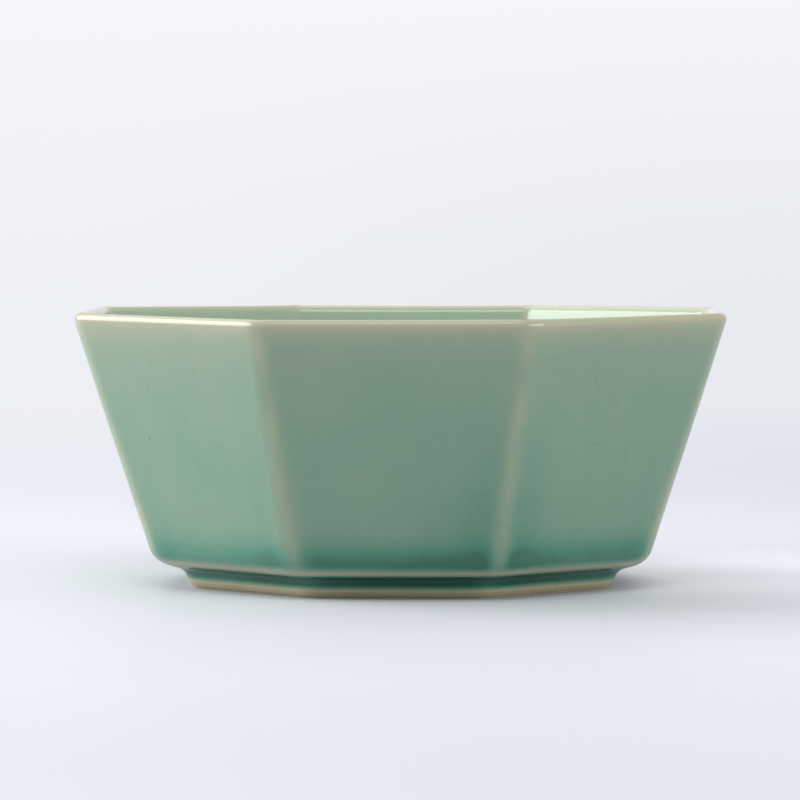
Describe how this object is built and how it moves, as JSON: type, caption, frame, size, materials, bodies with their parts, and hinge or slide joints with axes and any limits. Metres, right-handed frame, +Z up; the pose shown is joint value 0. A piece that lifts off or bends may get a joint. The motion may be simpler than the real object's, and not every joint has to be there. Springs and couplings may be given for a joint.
{
  "type": "rice bowl",
  "caption": "Octagonal celadon rice bowl with flared flat walls, a rounded lip, a low octagonal foot ring and a glazed inside for holding a serving of rice.",
  "frame": {"origin": "centre of the foot ring's resting face", "axes": "+Z up through the mouth, along the bowl's axis; +X and +Y square to two of the flat walls, which are alike all round"},
  "size_m": [0.1238, 0.1238, 0.0524],
  "materials": {
    "fired_clay": "bare fired stoneware, matt, toasted brown at the glaze edge",
    "outer_celadon": "glossy translucent grey-green celadon, beige where thin, teal where pooled, sparse fine crackle",
    "inner_celadon": "glossy translucent grey-green celadon, deeper on the floor",
    "base_celadon": "glossy translucent grey-green celadon inside the foot ring"
  },
  "bodies": {
    "root": {"clay_body": "fired_clay", "outer_glaze": "outer_celadon", "inner_glaze": "inner_celadon", "base_glaze": "base_celadon"}
  },
  "joints": []
}
